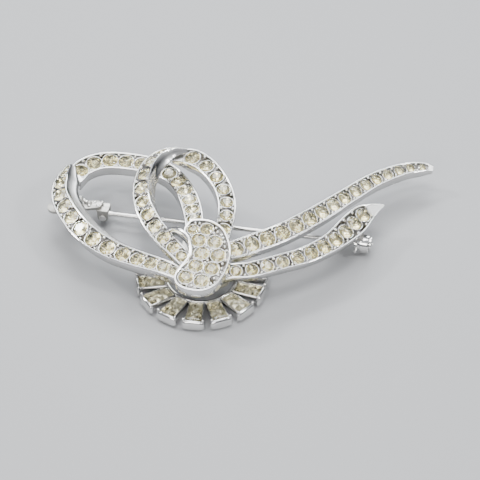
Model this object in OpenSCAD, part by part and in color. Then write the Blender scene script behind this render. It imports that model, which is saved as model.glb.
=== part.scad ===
// Rhinestone bow brooch with a baguette fan, a hinged pin stem and a roller safety catch.
// Millimetres. +X runs along the pin stem from hinge to catch, +Y towards the loops of the bow,
// +Z out of the face. The origin is the middle of the bounding box's underside.

/* [Ribbons] */
// Depth of a ribbon's walls, from the rim to the back
ribbon_depth = 2.6; // [2.2:0.1:3]
// Depth of the short tail's walls, which are shallower to leave room for the catch
short_tail_depth = 2.1; // [1.8:0.1:2.4]
// Thickness of a ribbon's wall at its rim
rim_wall = 0.32; // [0.3:0.02:0.5]
// How far the foot of the plain reverse wall stands out where the big loop turns over
reverse_flare = 1.1; // [0:0.1:1.3]

/* [Round stones] */
// Largest diameter of the round stones along the ribbons
stone_d = 3.1; // [2:0.1:3.1]
// Least gap between neighbouring stones along a ribbon
stone_gap = 0.08; // [0.04:0.02:0.2]
// Diameter of the stones paved on the knot
knot_stone_d = 2.8; // [2.4:0.1:2.9]
// Depth of a round stone's girdle below the rim
girdle_drop = 0.35; // [0.25:0.05:0.45]

/* [Knot] */
// Height of the knot's polished side wall
knot_depth = 2.5; // [2.2:0.1:2.8]
// Slope of the knot's face towards the fan, in degrees
knot_slope = 14; // [10:1:16]

/* [Fan] */
// Number of baguettes in the fan
fan_count = 9; // [9:1:9]
// Angle between neighbouring baguettes
fan_pitch = 24.75; // [24.4:0.05:25]
// Outer radius of the ring at the foot of the baguettes
fan_ring_r = 6.8; // [6.6:0.1:7]
// Length of a baguette setting along the fan's radius
baguette_l = 5.3; // [5:0.1:5.6]
// Height of the polished plate that closes a setting's outer end
end_plate_h = 2.4; // [2.2:0.1:2.6]

/* [Pin] */
// Diameter of the pin stem
pin_d = 0.9; // [0.8:0.02:0.96]
// Distance from the hinge rivet to the middle of the catch
pin_reach = 50.8; // [50.6:0.1:51.2]
// Diameter of the hinge rivet
rivet_d = 0.8; // [0.7:0.05:0.85]
// Radial clearance of the stem's barrel on the rivet
rivet_clearance = 0.05; // [0.02:0.01:0.09]

/* [Catch] */
// Outside diameter of the C-shaped catch
catch_d = 3.6; // [3.5:0.1:3.8]
// Length of the catch along the pin
catch_l = 1.6; // [1.4:0.1:1.8]
// Radial clearance of the roller in the catch
roller_clearance = 0.05; // [0.02:0.01:0.09]

/* [Hidden] */
steel = "silver";
bright = "gainsboro";
crystal = "wheat";
baguette_numbers = [1 : fan_count];

// Stations along the middle of each ribbon's rim: x, y, height of the rim, width, roll.
// The roll leans the face towards the right of the direction of travel, in degrees.
outer_front_path = [
    [-34.0, 8.6, 8.3, 1.2, 32],
    [-34.5, 4.3, 8.3, 3.3, 32],
    [-33.8, 0.1, 8.1, 3.6, 32],
    [-31.1, -4.3, 8.0, 3.7, 28],
    [-26.9, -8.9, 8.0, 3.9, 22],
    [-21.5, -12.4, 8.0, 3.8, 18],
    [-15.7, -14.5, 8.2, 3.5, 14],
    [-10.0, -16.1, 8.5, 3.1, 10],
    [-6.6, -16.8, 7.8, 2.8, 6]
];
outer_back_path = [
    [-32.3, 6.0, 7.2, 3.4, 10],
    [-30.9, 9.7, 7.4, 3.9, 12],
    [-27.3, 11.9, 7.6, 3.9, 12],
    [-21.9, 12.3, 7.6, 3.9, 12],
    [-16.9, 11.5, 7.6, 3.9, 10],
    [-12.9, 8.9, 7.8, 3.8, 6],
    [-9.7, 4.3, 8.2, 3.7, 5],
    [-7.5, -1.1, 8.8, 3.6, 5],
    [-6.1, -6.4, 9.3, 3.3, 5],
    [-5.2, -9.4, 8.9, 3.1, 5]
];
bow_left_path = [
    [-10.9, 12.1, 12.6, 0.5, 38],
    [-13.9, 11.7, 12.8, 2.2, 36],
    [-16.4, 10.0, 12.6, 3.3, 33],
    [-17.9, 6.7, 12.2, 3.5, 30],
    [-18.1, 2.3, 11.6, 3.5, 26],
    [-17.1, -1.9, 11.0, 3.4, 22],
    [-14.7, -6.1, 10.4, 3.4, 20],
    [-11.5, -9.9, 10.0, 3.4, 18],
    [-8.1, -12.9, 9.6, 3.0, 15],
    [-5.8, -14.5, 8.4, 2.6, 8]
];
bow_right_path = [
    [-13.8, 10.6, 11.2, 1.0, 12],
    [-10.7, 11.4, 11.5, 3.6, 12],
    [-7.1, 9.5, 11.6, 3.7, 8],
    [-3.7, 5.7, 11.4, 3.5, 2],
    [-1.5, 1.3, 11.0, 3.4, -3],
    [-0.7, -3.1, 10.6, 3.3, -5],
    [-0.7, -8.4, 9.9, 3.1, -5]
];
long_tail_path = [
    [0.9, -10.1, 8.4, 3.4, 22],
    [5.1, -6.9, 8.1, 3.8, 22],
    [10.5, -2.3, 7.8, 3.8, 22],
    [15.7, 3.5, 7.5, 3.7, 20],
    [20.7, 10.1, 7.0, 3.4, 20],
    [25.5, 16.3, 6.5, 3.1, 18],
    [30.5, 20.7, 6.0, 2.7, 15],
    [34.1, 22.5, 5.5, 2.2, 14],
    [36.2, 22.6, 5.2, 1.1, 14]
];
short_tail_path = [
    [0.6, -15.2, 7.8, 2.7, 20],
    [2.4, -14.6, 8.0, 2.9, 22],
    [5.7, -13.5, 7.8, 3.1, 22],
    [10.5, -10.6, 7.6, 3.2, 20],
    [15.3, -7.3, 7.3, 3.4, 20],
    [19.5, -2.9, 7.1, 3.9, 20],
    [22.5, 2.1, 6.9, 4.8, 20],
    [24.5, 6.1, 6.6, 4.0, 20],
    [27.7, 9.3, 6.4, 0.5, 20]
];

// Stones along each ribbon: how many, where on the path they start and end, and how strongly
// their spacing follows the ribbon's width
stone_rows = [
    ["outer_front", outer_front_path, 14, 0.1, 7.85, 2],
    ["outer_back", outer_back_path, 13, 0.3, 8.2, 0.5],
    ["bow_left", bow_left_path, 11, 0.75, 8.7, 2],
    ["bow_right", bow_right_path, 7, 0.72, 5.85, 1],
    ["long_tail", long_tail_path, 16, 0.04, 7.5, 0.7],
    ["short_tail", short_tail_path, 11, 0.63, 7.25, 0]
];
least_crowded = 2.4; // width below which the spacing shrinks no further
rings_per_span = 6;
wide = 3;           // width from which a ribbon has its full depth
seat_margin = 0.05; // between a stone and the ribbon's wall

// Knot: outline and stones in the plane of its face, about its own middle
knot_at = [-2.6, -15.5, 11.0];
knot_outline = [
    [-4.8, 6.3], [-3.6, 8.2], [-0.4, 8.5], [2.2, 7.1], [3.6, 4.9], [4.5, 2.4], [4.5, -0.2],
    [4.0, -2.8], [2.8, -5.2], [0.7, -6.6], [-1.9, -6.7], [-4.0, -5.9], [-4.8, -4.2],
    [-4.3, -2.4], [-3.2, -0.6], [-2.7, 1.4], [-3.4, 3.4], [-4.5, 4.9]
];
knot_stones = [
    [-3.15, 6.2, 0.79], [-0.7, 6.6, 0.9], [-1.8, 4.05, 1], [1.2, 4.05, 1], [-0.75, 1.35, 1],
    [2.3, 1.3, 1], [-1.35, -1.4, 1], [1.6, -1.6, 1], [-2.7, -4, 1], [0.2, -4.4, 1]
];
knot_rim = 0.45;
knot_pocket = 0.5;

// Scroll that curls off the knot's left edge: x, y, height of the rim, width, roll
scroll_path = [
    [-10.9, -8.9, 11.0, 0.6, 0],
    [-9.7, -8.9, 11.7, 0.65, 0],
    [-8.5, -9.5, 12.2, 0.7, 0],
    [-7.4, -10.4, 12.4, 0.7, 0],
    [-6.4, -11.5, 12.3, 0.7, 0],
    [-5.6, -13.0, 12.0, 0.7, 0],
    [-5.3, -14.6, 11.6, 0.7, 0],
    [-5.7, -15.8, 11.1, 0.7, 0],
    [-6.6, -17.3, 10.5, 0.6, 0]
];
scroll_depth = 1.9;

// Fan: its centre, the height of its ring, the direction of its middle baguette
fan_at = [-4.1, -11.0];
fan_z = 1.95;
fan_middle = -87;
fan_rise = 5;
setting_half_in = 1.33;
setting_half_out = 1.7;
setting_wall_in = 0.14;
setting_wall_out = 0.2;
end_plate_w = 4.2;
end_plate_t = 0.7;
ring_t = 0.45;
ring_h = 1.8;

// Plate behind the knot, with a post under the end of every ribbon
foundation_z = 4.4;
foundation_t = 0.8;
foundation_edge = 1.0;
post_r = 0.75;
// Posts under the six ribbons and the knot: x, y, height of the top
foundation_posts = [
    [-7.0, -15.9, 5.7], [-6.3, -13.6, 6.6], [-5.2, -8.8, 6.7], [-0.8, -7.8, 7.6],
    [0.9, -9.9, 6.1], [0.6, -14.5, 6.1], [-3.2, -12.5, 9.4], [-2.4, -17.0, 8.3]
];
// Directions from the fan's middle in which legs reach down to its ring
ring_legs = [62, 122];
leg_r = 0.6;

// Pin, hinge and catch
pin_r = pin_d / 2;
pin_y = 2.4;
pin_z = 2.3;
hinge_x = -25.8;
barrel_r = 0.85;
barrel_half = 0.75;
ear_t = 0.4;
ear_r = 1.05;
ear_gap = 0.1;
ear_in = barrel_half + ear_gap;
ear_out = ear_in + ear_t;
hinge_plate_z = 3.9;
hinge_plate_t = 0.6;
// Ends of the hinge plate: x, y, radius
hinge_plate_ends = [[-34.86, 0.4, 1.5], [-27.2, 2.4, 1.0]];
// Solder fillets up to the ribbon: x, y, radius, height of the top
solder_fillets = [[-33.6, 0.7, 0.8, 5.7], [-30.4, 2.6, 0.7, 5.6], [-28.6, 2.3, 0.6, 5.0]];
// Stem: a neck flares from its barrel, and it is drawn down a little from before the catch to its point
neck_end = 1.8;
neck_r = 0.8;
drawn_from = 48.2;
drawn_r = pin_d / 2 - 0.04;
point_l = 2.6;
point_r = 0.06;
stem_past_catch = 1.6;
catch_x = hinge_x + pin_reach;
bore_r = 1.2;
roller_r = bore_r - roller_clearance;
roller_hole_r = pin_r + 0.15;
flange_r = 1.45;
flange_t = 0.35;
tab_flange_t = 0.9;
flange_gap = 0.06;
slot_half = pin_r + 0.15;
tab_reach = 2.4;
tab_w = 0.7;
tab_t = 0.45;
tab_angles = [150, 188];
catch_plate_z = 4.0;
catch_plate_t = 0.6;
catch_plate_l = 3.6;
catch_plate_w = 2.6;

// --- Curves and sweeps ---

function clampi(i, n) = min(max(i, 0), n - 1);
function knot_of(P, i) = i < 0 ? 2 * P[0] - P[1]
    : i > len(P) - 1 ? 2 * P[len(P) - 1] - P[len(P) - 2]
    : P[i];
function blend4(a, b, c, d, t) =
    0.5 * (2 * b + (c - a) * t + (2 * a - 5 * b + 4 * c - d) * t * t
    + (3 * b - a - 3 * c + d) * t * t * t);
// Station at parameter k, where whole numbers are the listed stations
function station(P, k) =
    let (i = clampi(floor(k), len(P) - 1))
    blend4(knot_of(P, i - 1), P[i], P[i + 1], knot_of(P, i + 2), k - i);
function point_at(P, k) = let (s = station(P, k)) [s[0], s[1], s[2]];
function unit(v) = v / norm(v);
function along(P, k) =
    let (e = 0.01, last = len(P) - 1)
    unit(point_at(P, min(k + e, last)) - point_at(P, max(k - e, 0)));
// Across, along and up directions of the ribbon at k, with its roll
function frame_at(P, k) =
    let (t = along(P, k))
    let (s = unit(cross(t, [0, 0, 1])))
    let (u = cross(s, t))
    let (r = station(P, k)[4])
    [s * cos(r) - u * sin(r), t, u * cos(r) + s * sin(r)];

// Section of a stone-set ribbon of width w, as [across, up] from the middle of its rim
function depth_share(w) = min(1, 0.15 + 0.85 * w / wide);
function wall_of(w) = min(rim_wall, 0.15 * w);
function ribbon_section(w, depth, flare) =
    let (h = w / 2, t = wall_of(w), k = depth_share(w), g = min(1, w / wide))
    [
        [h, 0],
        [h - 0.1, -depth * k],
        [-h - flare * k, -depth * k],
        [-h - flare * k * 0.3, -depth * k * 0.5],
        [-h, 0],
        [t - h, 0],
        [t - h, -(girdle_drop + 0.15) * g],
        [-0.12 * w, -1.8 * g],
        [0.12 * w, -1.8 * g],
        [h - t, -(girdle_drop + 0.15) * g],
        [h - t, 0]
    ];
function wall_section(w, depth) =
    let (h = w / 2)
    [[h, -0.15], [h, -depth], [-h, -depth], [-h, -0.15], [-h + 0.15, 0], [h - 0.15, 0]];

// Ring of points where the ribbon's section stands at k
function ring_at(P, k, section) =
    let (p = point_at(P, k), f = frame_at(P, k))
    [for (q = section) p + f[0] * q[0] + f[2] * q[1]];

module sweep(rings) {
    m = len(rings[0]);
    n = len(rings);
    side = [for (i = [0 : n - 2]) for (j = [0 : m - 1])
        let (a = i * m + j, b = i * m + (j + 1) % m) [[a, a + m, b + m], [a, b + m, b]]];
    faces = concat(
        [[for (j = [0 : m - 1]) j]],
        [for (pair = side) for (f = pair) f],
        [[for (j = [m - 1 : -1 : 0]) (n - 1) * m + j]]
    );
    polyhedron(points = [for (r = rings) for (p = r) p], faces = faces, convexity = 10);
}

module ribbon(P, depth = ribbon_depth, flare = 0) {
    steps = (len(P) - 1) * rings_per_span;
    sweep([for (i = [0 : steps])
        let (k = i / rings_per_span)
        ring_at(P, k, ribbon_section(station(P, k)[3], depth, flare))]);
}

// Places its children at parameter k of path P, with +Z along the face's own normal
module on_ribbon(P, k) {
    p = point_at(P, k);
    f = frame_at(P, k);
    multmatrix([
        [f[0][0], f[1][0], f[2][0], p[0]],
        [f[0][1], f[1][1], f[2][1], p[1]],
        [f[0][2], f[1][2], f[2][2], p[2]],
        [0, 0, 0, 1]
    ]) children();
}

// Room for stones along a path, as pairs of room so far and parameter for lookup()
room_steps = 8;
function room_at(w, crowding) = pow(max(w, least_crowded), crowding);
function room(P, crowding, i = 1, so_far = 0, list = [[0, 0]]) =
    i > (len(P) - 1) * room_steps ? list
    : let (k = i / room_steps, step = norm(point_at(P, k) - point_at(P, k - 1 / room_steps)))
    let (d = so_far + step / room_at(station(P, k)[3], crowding))
    room(P, crowding, i + 1, d, concat(list, [[d, k]]));

// --- Stones ---

// Round brilliant: table, crown, girdle and a pointed pavilion, its girdle below Z = 0
module round_stone(r, drop) {
    girdle = 0.1;
    translate([0, 0, -drop])
        rotate_extrude($fn = 32)
            polygon([
                [0, r * 0.34], [r * 0.58, r * 0.34], [r, girdle / 2],
                [r, -girdle / 2], [0, -r * 0.84]
            ]);
}

// Stones set along a ribbon, smaller where it narrows
module stone_row(row) {
    P = row[1];
    table = room(P, row[5]);
    by_k = [for (pair = table) [pair[1], pair[0]]];
    first = lookup(row[3], by_k);
    cell = (lookup(row[4], by_k) - first) / row[2];
    for (i = [0 : row[2] - 1]) {
        k = lookup(first + (i + 0.5) * cell, table);
        w = station(P, k)[3];
        pitch = cell * room_at(w, row[5]);
        r = min(stone_d / 2, (pitch - stone_gap) / 2, w / 2 - wall_of(w) - seat_margin);
        on_ribbon(P, k) round_stone(r, girdle_drop * min(1, w / wide));
    }
}

// Step-cut tapered baguette, long side along +X, girdle at Z = 0
module baguette_stone() {
    gap = 0.07;
    x0 = 0.3;
    x1 = baguette_l - 0.3;
    y0 = setting_half_in - setting_wall_in - gap;
    y1 = setting_half_out - setting_wall_out - gap;
    levels = [[0.55, -1.15], [0, -0.12], [0, 0], [0.38, 0.32]];
    sweep([for (v = levels) [
        [x0 + v[0], -y0 + v[0], v[1]], [x1 - v[0], -y1 + v[0], v[1]],
        [x1 - v[0], y1 - v[0], v[1]], [x0 + v[0], y0 - v[0], v[1]]
    ]]);
}

// --- Ribbons ---

module outer_front() color(steel) ribbon(outer_front_path, flare = reverse_flare);
module outer_back() color(steel) ribbon(outer_back_path);
module bow_left() color(steel) ribbon(bow_left_path);
module bow_right() color(steel) ribbon(bow_right_path);
module long_tail() color(steel) ribbon(long_tail_path);
module short_tail() color(steel) ribbon(short_tail_path, depth = short_tail_depth);

// --- Knot ---

knot_smooth = 3;
function closed_curve(P) = [for (i = [0 : len(P) - 1]) for (j = [0 : knot_smooth - 1])
    let (n = len(P))
    blend4(P[(i + n - 1) % n], P[i], P[(i + 1) % n], P[(i + 2) % n], j / knot_smooth)];

module knot_face() translate(knot_at) rotate([knot_slope, 0, 0]) children();

module knot_plate() {
    outline = closed_curve(knot_outline);
    color(bright) knot_face() difference() {
        translate([0, 0, -knot_depth]) linear_extrude(knot_depth) polygon(outline);
        translate([0, 0, -knot_pocket]) linear_extrude(knot_depth)
            offset(delta = -knot_rim) polygon(outline);
        for (s = knot_stones) {
            r = knot_stone_d / 2 * s[2] + 0.05;
            translate([s[0], s[1], -knot_pocket - 1.2])
                cylinder(r1 = 0.4, r2 = r, h = 1.21, $fn = 24);
            translate([s[0], s[1], -knot_depth - 1]) cylinder(r = 0.4, h = knot_depth, $fn = 24);
        }
    }
}

module knot_scroll() {
    steps = (len(scroll_path) - 1) * 4;
    color(bright) sweep([for (i = [0 : steps])
        ring_at(scroll_path, i / 4, wall_section(station(scroll_path, i / 4)[3], scroll_depth))]);
}

module stones_knot() {
    color(crystal) knot_face() for (s = knot_stones)
        translate([s[0], s[1], 0]) round_stone(knot_stone_d / 2 * s[2], girdle_drop);
}

// --- Plate behind the knot ---

module foundation_plate() {
    legs = [for (a = ring_legs) fan_at + (fan_ring_r - ring_t / 2) * [cos(a), sin(a)]];
    color(steel) {
        hull() for (p = concat(foundation_posts, legs))
            translate([p[0], p[1], foundation_z])
                cylinder(r = foundation_edge, h = foundation_t, $fn = 24);
        for (p = foundation_posts)
            translate([p[0], p[1], foundation_z + 0.1])
                cylinder(r = post_r, h = p[2] - foundation_z - 0.1, $fn = 24);
        for (p = legs)
            translate([p[0], p[1], fan_z - 0.3])
                cylinder(r = leg_r, h = foundation_z - fan_z + 0.5, $fn = 24);
    }
}

// --- Fan of baguettes ---

module fan_ring() {
    color(bright) translate([fan_at[0], fan_at[1], fan_z - ring_h])
        rotate_extrude($fn = 96)
            translate([fan_ring_r - ring_t, 0]) square([ring_t, ring_h + 0.15]);
}

// Puts its children at the foot of setting i, +X outwards along the fan
module in_fan(i) {
    translate([fan_at[0], fan_at[1], fan_z])
        rotate([0, 0, fan_middle + (i - (fan_count + 1) / 2) * fan_pitch])
            translate([fan_ring_r - 0.05, 0, 0]) children();
}

// Outline of a setting, drawn in by a wall at the inner and at the outer end
module taper(wall_in, wall_out) {
    polygon([
        [wall_in, wall_in - setting_half_in], [baguette_l - wall_out, wall_out - setting_half_out],
        [baguette_l - wall_out, setting_half_out - wall_out], [wall_in, setting_half_in - wall_in]
    ]);
}

module baguette_setting(i) {
    depth = 1.7;
    corner = end_plate_h / 4;
    color(steel) in_fan(i) {
        rotate([0, -fan_rise, 0]) difference() {
            translate([0, 0, -depth]) linear_extrude(depth) taper(0, 0);
            translate([0, 0, -depth - 0.1]) linear_extrude(depth + 1)
                taper(setting_wall_in, setting_wall_out);
        }
        // Polished end plate, a rounded lozenge standing on the underside
        translate([baguette_l - 0.25, 0, -fan_z]) rotate([90, 0, 90]) linear_extrude(end_plate_t)
            polygon([
                [-end_plate_w / 2 + corner, 0], [end_plate_w / 2 - corner, 0],
                [end_plate_w / 2, corner], [end_plate_w / 2, end_plate_h - corner],
                [end_plate_w / 2 - corner, end_plate_h], [corner - end_plate_w / 2, end_plate_h],
                [-end_plate_w / 2, end_plate_h - corner], [-end_plate_w / 2, corner]
            ]);
        // Claws at the outer corners
        for (side = [-1, 1]) translate([baguette_l - 0.1, side * (setting_half_out + 0.1), 0]) {
            translate([0, 0, -1.2]) cylinder(r = 0.22, h = 1.9, $fn = 16);
            translate([0, 0, 0.7]) sphere(r = 0.22, $fn = 16);
        }
    }
}

module baguette(i) {
    color(crystal) in_fan(i) rotate([0, -fan_rise, 0]) translate([0, 0, -0.2]) baguette_stone();
}

// --- Hinge ---

module hinge_base() {
    color(steel) {
        hull() for (p = hinge_plate_ends)
            translate([p[0], p[1], hinge_plate_z])
                cylinder(r = p[2], h = hinge_plate_t, $fn = 32);
        for (p = solder_fillets) {
            translate([p[0], p[1], hinge_plate_z + 0.1])
                cylinder(r = p[2], h = p[3] - p[2] - hinge_plate_z - 0.1, $fn = 24);
            translate([p[0], p[1], p[3] - p[2]]) sphere(r = p[2], $fn = 24);
        }
    }
}

module hinge_bracket() {
    strip_t = 0.5;
    color(steel) translate([hinge_x, pin_y, 0]) difference() {
        union() {
            translate([-1.3, -ear_out, hinge_plate_z - strip_t]) linear_extrude(strip_t)
                offset(r = 0.4) offset(delta = -0.4) square([2.4, 2 * ear_out]);
            for (side = [-1, 1]) {
                y = side > 0 ? ear_out : -ear_in;
                translate([0, y, pin_z]) rotate([90, 0, 0]) cylinder(r = ear_r, h = ear_t, $fn = 32);
                translate([-ear_r, y - ear_t, pin_z])
                    cube([2 * ear_r, ear_t, hinge_plate_z - pin_z]);
            }
        }
        translate([0, ear_out + 1, pin_z]) rotate([90, 0, 0])
            cylinder(d = rivet_d, h = 2 * ear_out + 2, $fn = 32);
    }
}

module hinge_rivet() {
    head_r = rivet_d / 2 + 0.3;
    head_t = 0.35;
    color(bright) translate([hinge_x, pin_y, pin_z]) rotate([90, 0, 0]) {
        cylinder(d = rivet_d, h = 2 * ear_out, center = true, $fn = 32);
        for (side = [-1, 1])
            translate([0, 0, side * (ear_out + head_t / 2)])
                cylinder(r = head_r, h = head_t, center = true, $fn = 32);
    }
}

module pin_stem() {
    shaft_end = pin_reach + stem_past_catch - point_l;
    color(bright) translate([hinge_x, pin_y, pin_z]) difference() {
        union() {
            rotate([90, 0, 0]) cylinder(r = barrel_r, h = 2 * barrel_half, center = true, $fn = 32);
            rotate([0, 90, 0]) {
                cylinder(r1 = neck_r, r2 = pin_r, h = neck_end, $fn = 32);
                translate([0, 0, neck_end - 0.01])
                    cylinder(r = pin_r, h = drawn_from - neck_end + 0.01, $fn = 32);
                translate([0, 0, drawn_from])
                    cylinder(r1 = pin_r, r2 = drawn_r, h = shaft_end - drawn_from, $fn = 32);
                translate([0, 0, shaft_end])
                    cylinder(r1 = drawn_r, r2 = point_r, h = point_l, $fn = 32);
            }
        }
        rotate([90, 0, 0])
            cylinder(r = rivet_d / 2 + rivet_clearance, h = 4, center = true, $fn = 32);
    }
}

// --- Catch ---

module catch_base() {
    color(steel) translate([catch_x - catch_plate_l - 0.3, pin_y - 0.9, catch_plate_z])
        cube([catch_plate_l, catch_plate_w, catch_plate_t]);
}

module catch_housing() {
    lip = 30;
    lip_at = (catch_d / 2 + bore_r) / 2;
    color(bright) translate([catch_x, pin_y, pin_z]) rotate([90, 0, 90]) difference() {
        union() {
            cylinder(d = catch_d, h = catch_l, center = true, $fn = 48);
            translate([-0.7, bore_r + 0.1, -catch_l / 2])
                cube([1.6, catch_plate_z - pin_z - bore_r, catch_l / 2 - 0.3]);
            for (side = [-1, 1])
                rotate([0, 0, 270 + side * lip]) translate([lip_at, 0, 0])
                    cylinder(r = 0.5, h = catch_l + 0.1, center = true, $fn = 24);
        }
        cylinder(r = bore_r, h = catch_l + 1, center = true, $fn = 48);
        translate([-slot_half, -catch_d, -catch_l]) cube([2 * slot_half, catch_d, 2 * catch_l]);
    }
}

module catch_roller() {
    half = catch_l / 2 + 0.05 + flange_gap;
    color(steel) translate([catch_x, pin_y, pin_z]) rotate([90, 0, 90]) difference() {
        union() {
            cylinder(r = roller_r, h = 2 * half, center = true, $fn = 48);
            translate([0, 0, half]) cylinder(r = flange_r, h = flange_t, $fn = 48);
            translate([0, 0, -half - tab_flange_t])
                cylinder(r = flange_r, h = tab_flange_t, $fn = 48);
            for (a = tab_angles)
                rotate([0, 0, a])
                    translate([roller_r - 0.2, -tab_w / 2, -half - tab_flange_t])
                        cube([tab_reach - roller_r + 0.2, tab_w, tab_t]);
        }
        cylinder(r = roller_hole_r, h = 6 * half, center = true, $fn = 32);
        translate([-slot_half, -catch_d, -3 * half]) cube([2 * slot_half, catch_d, 6 * half]);
    }
}

outer_front();
outer_back();
bow_left();
bow_right();
long_tail();
short_tail();
knot_plate();
knot_scroll();
foundation_plate();
fan_ring();
for (i = baguette_numbers)
    baguette_setting(i);
for (i = baguette_numbers)
    baguette(i);
for (row = stone_rows)
    color(crystal) stone_row(row);
stones_knot();
hinge_base();
hinge_bracket();
hinge_rivet();
pin_stem();
catch_base();
catch_housing();
catch_roller();
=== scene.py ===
import math

import bmesh
import bpy
from mathutils import Matrix, Vector


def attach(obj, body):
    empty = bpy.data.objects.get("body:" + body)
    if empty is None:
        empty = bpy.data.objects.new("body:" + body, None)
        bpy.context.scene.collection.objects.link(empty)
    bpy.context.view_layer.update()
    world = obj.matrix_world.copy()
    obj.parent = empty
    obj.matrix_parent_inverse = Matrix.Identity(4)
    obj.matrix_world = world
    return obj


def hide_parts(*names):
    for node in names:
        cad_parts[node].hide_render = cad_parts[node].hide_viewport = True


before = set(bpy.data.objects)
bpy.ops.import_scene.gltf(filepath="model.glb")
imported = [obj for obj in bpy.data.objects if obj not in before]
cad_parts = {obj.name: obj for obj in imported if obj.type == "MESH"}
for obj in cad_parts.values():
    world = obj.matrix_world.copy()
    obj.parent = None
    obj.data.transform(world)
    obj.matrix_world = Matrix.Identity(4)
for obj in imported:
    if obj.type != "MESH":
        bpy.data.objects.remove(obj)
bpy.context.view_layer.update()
MM = 0.001

# --- Big loop, front band ---
# A cast ribbon of white metal, plated with rhodium: two polished walls joined by a thin web, which is
# pierced under every stone. Where the loop turns over, the inner wall flares into the plain reverse.

# Middle of the band's rim: x, y, height, width and roll, in millimetres and degrees
front_path = [
    [-34.0, 8.6, 8.3, 1.2, 32],
    [-34.5, 4.3, 8.3, 3.3, 32],
    [-33.8, 0.1, 8.1, 3.6, 32],
    [-31.1, -4.3, 8.0, 3.7, 28],
    [-26.9, -8.9, 8.0, 3.9, 22],
    [-21.5, -12.4, 8.0, 3.8, 18],
    [-15.7, -14.5, 8.2, 3.5, 14],
    [-10.0, -16.1, 8.5, 3.1, 10],
    [-6.6, -16.8, 7.8, 2.8, 6],
]
full_width = 3.0  # a band narrower than this is shallower in proportion
rim_wall = 0.32
web_top = -0.5
plain_top = -0.06
web_bottom = -1.45
girdle_drop = 0.35
satin_finish = -0.6  # how sheltered the satin parts are said to be, see "Worn plating"


def spline(a, b, c, d, t):
    """Between b and c at t, on the smooth curve through four rows of values."""
    return [
        0.5 * (2 * q + (r - p) * t + (2 * p - 5 * q + 4 * r - s) * t * t + (3 * q - p - 3 * r + s) * t**3)
        for p, q, r, s in zip(a, b, c, d)
    ]


def station(path, k):
    """x, y, rim height, width and roll of a band at k, where whole numbers are its listed stations."""
    last = len(path) - 1
    i = min(max(int(k), 0), last - 1)
    b, c = path[i], path[i + 1]
    a = path[i - 1] if i else [2 * p - q for p, q in zip(b, c)]
    d = path[i + 2] if i + 2 <= last else [2 * q - p for p, q in zip(b, c)]
    return spline(a, b, c, d, k - i)


def rim_point(path, k):
    return Vector(station(path, k)[:3])


def band_axes(path, k):
    """Across, along and up directions of a band's face at k."""
    along = (rim_point(path, min(k + 0.01, len(path) - 1)) - rim_point(path, max(k - 0.01, 0))).normalized()
    flat = along.cross(Vector((0, 0, 1))).normalized()
    up = flat.cross(along)
    roll = math.radians(station(path, k)[4])
    across = flat * math.cos(roll) - up * math.sin(roll)
    return across, along, up * math.cos(roll) + flat * math.sin(roll)


def run_of(path):
    """Running length of a band, as pairs of length and k."""
    pairs = [(0.0, 0.0)]
    for i in range(1, (len(path) - 1) * 8 + 1):
        step = (rim_point(path, i / 8) - rim_point(path, (i - 1) / 8)).length
        pairs.append((pairs[-1][0] + step, i / 8))
    return pairs


def k_at(run, s):
    """Where along the band its running length is s."""
    for (s0, k0), (s1, k1) in zip(run, run[1:]):
        if s <= s1:
            return k0 + (k1 - k0) * max(s - s0, 0) / (s1 - s0)
    return run[-1][1]


def wall_at(w):
    return min(rim_wall, 0.15 * w)


def wall_section(w, depth, foot, lip):
    """Rounded section of one wall, as across, up and shelter. The shelter paints shade on the metal: 1 in the
    channel, some on the outer wall and foot, and below 0 it marks satin instead.
    """
    h, t, d = w / 2, wall_at(w), depth * min(1, 0.15 + 0.85 * w / full_width)
    r = 0.3 * t
    satin = satin_finish if foot > 0 else 0.25
    foot, lip = foot * d / depth, lip * w / full_width
    out = h + foot + lip
    return [
        (out, -d + r, 0.5), (out, -d + 3 * r, 0.4), (h + foot * 0.7, -d * 0.72, satin),
        (h + foot * 0.25, -d * 0.4, satin * 0.8), (h, -r * 1.3, 0), (h - r * 0.3, -r * 0.35, 0),
        (h - r * 1.1, 0, 0), (h - t + r * 1.1, 0, 0), (h - t + r * 0.3, -r * 0.35, 0.1),
        (h - t, -r * 1.3, 0.5), (h - t, -d * 0.3, 1), (h - t, -d + r, 0.8), (h - t + r, -d, 0.5),
        (out - r, -d, 0.4),
    ]


def skin(bm, rows):
    """Faces between one closed loop of vertices and the next."""
    n = len(rows[0])
    for a, b in zip(rows, rows[1:]):
        for j in range(n):
            bm.faces.new((a[j], a[(j + 1) % n], b[(j + 1) % n], b[j]))


def add_sweep(bm, rings, shelter):
    """Skin over rings of points, each given with how sheltered it is, closed at both ends."""
    made = []
    for ring in rings:
        row = [bm.verts.new(Vector(p) * MM) for p, _ in ring]
        for v, (_, hidden) in zip(row, ring):
            v[shelter] = hidden
        made.append(row)
    n = len(made[0])
    for a, b in zip(made, made[1:]):
        for j in range(n):
            bm.faces.new((a[j], b[j], b[(j + 1) % n], a[(j + 1) % n]))
    bm.faces.new(made[0])
    bm.faces.new(reversed(made[-1]))


def between(x, xs, ys):
    """The value of ys where xs, which rises, is x."""
    for x0, x1, y0, y1 in zip(xs, xs[1:], ys, ys[1:]):
        if x <= x1:
            return y0 + (y1 - y0) * max(x - x0, 0) / (x1 - x0)
    return ys[-1]


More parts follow.
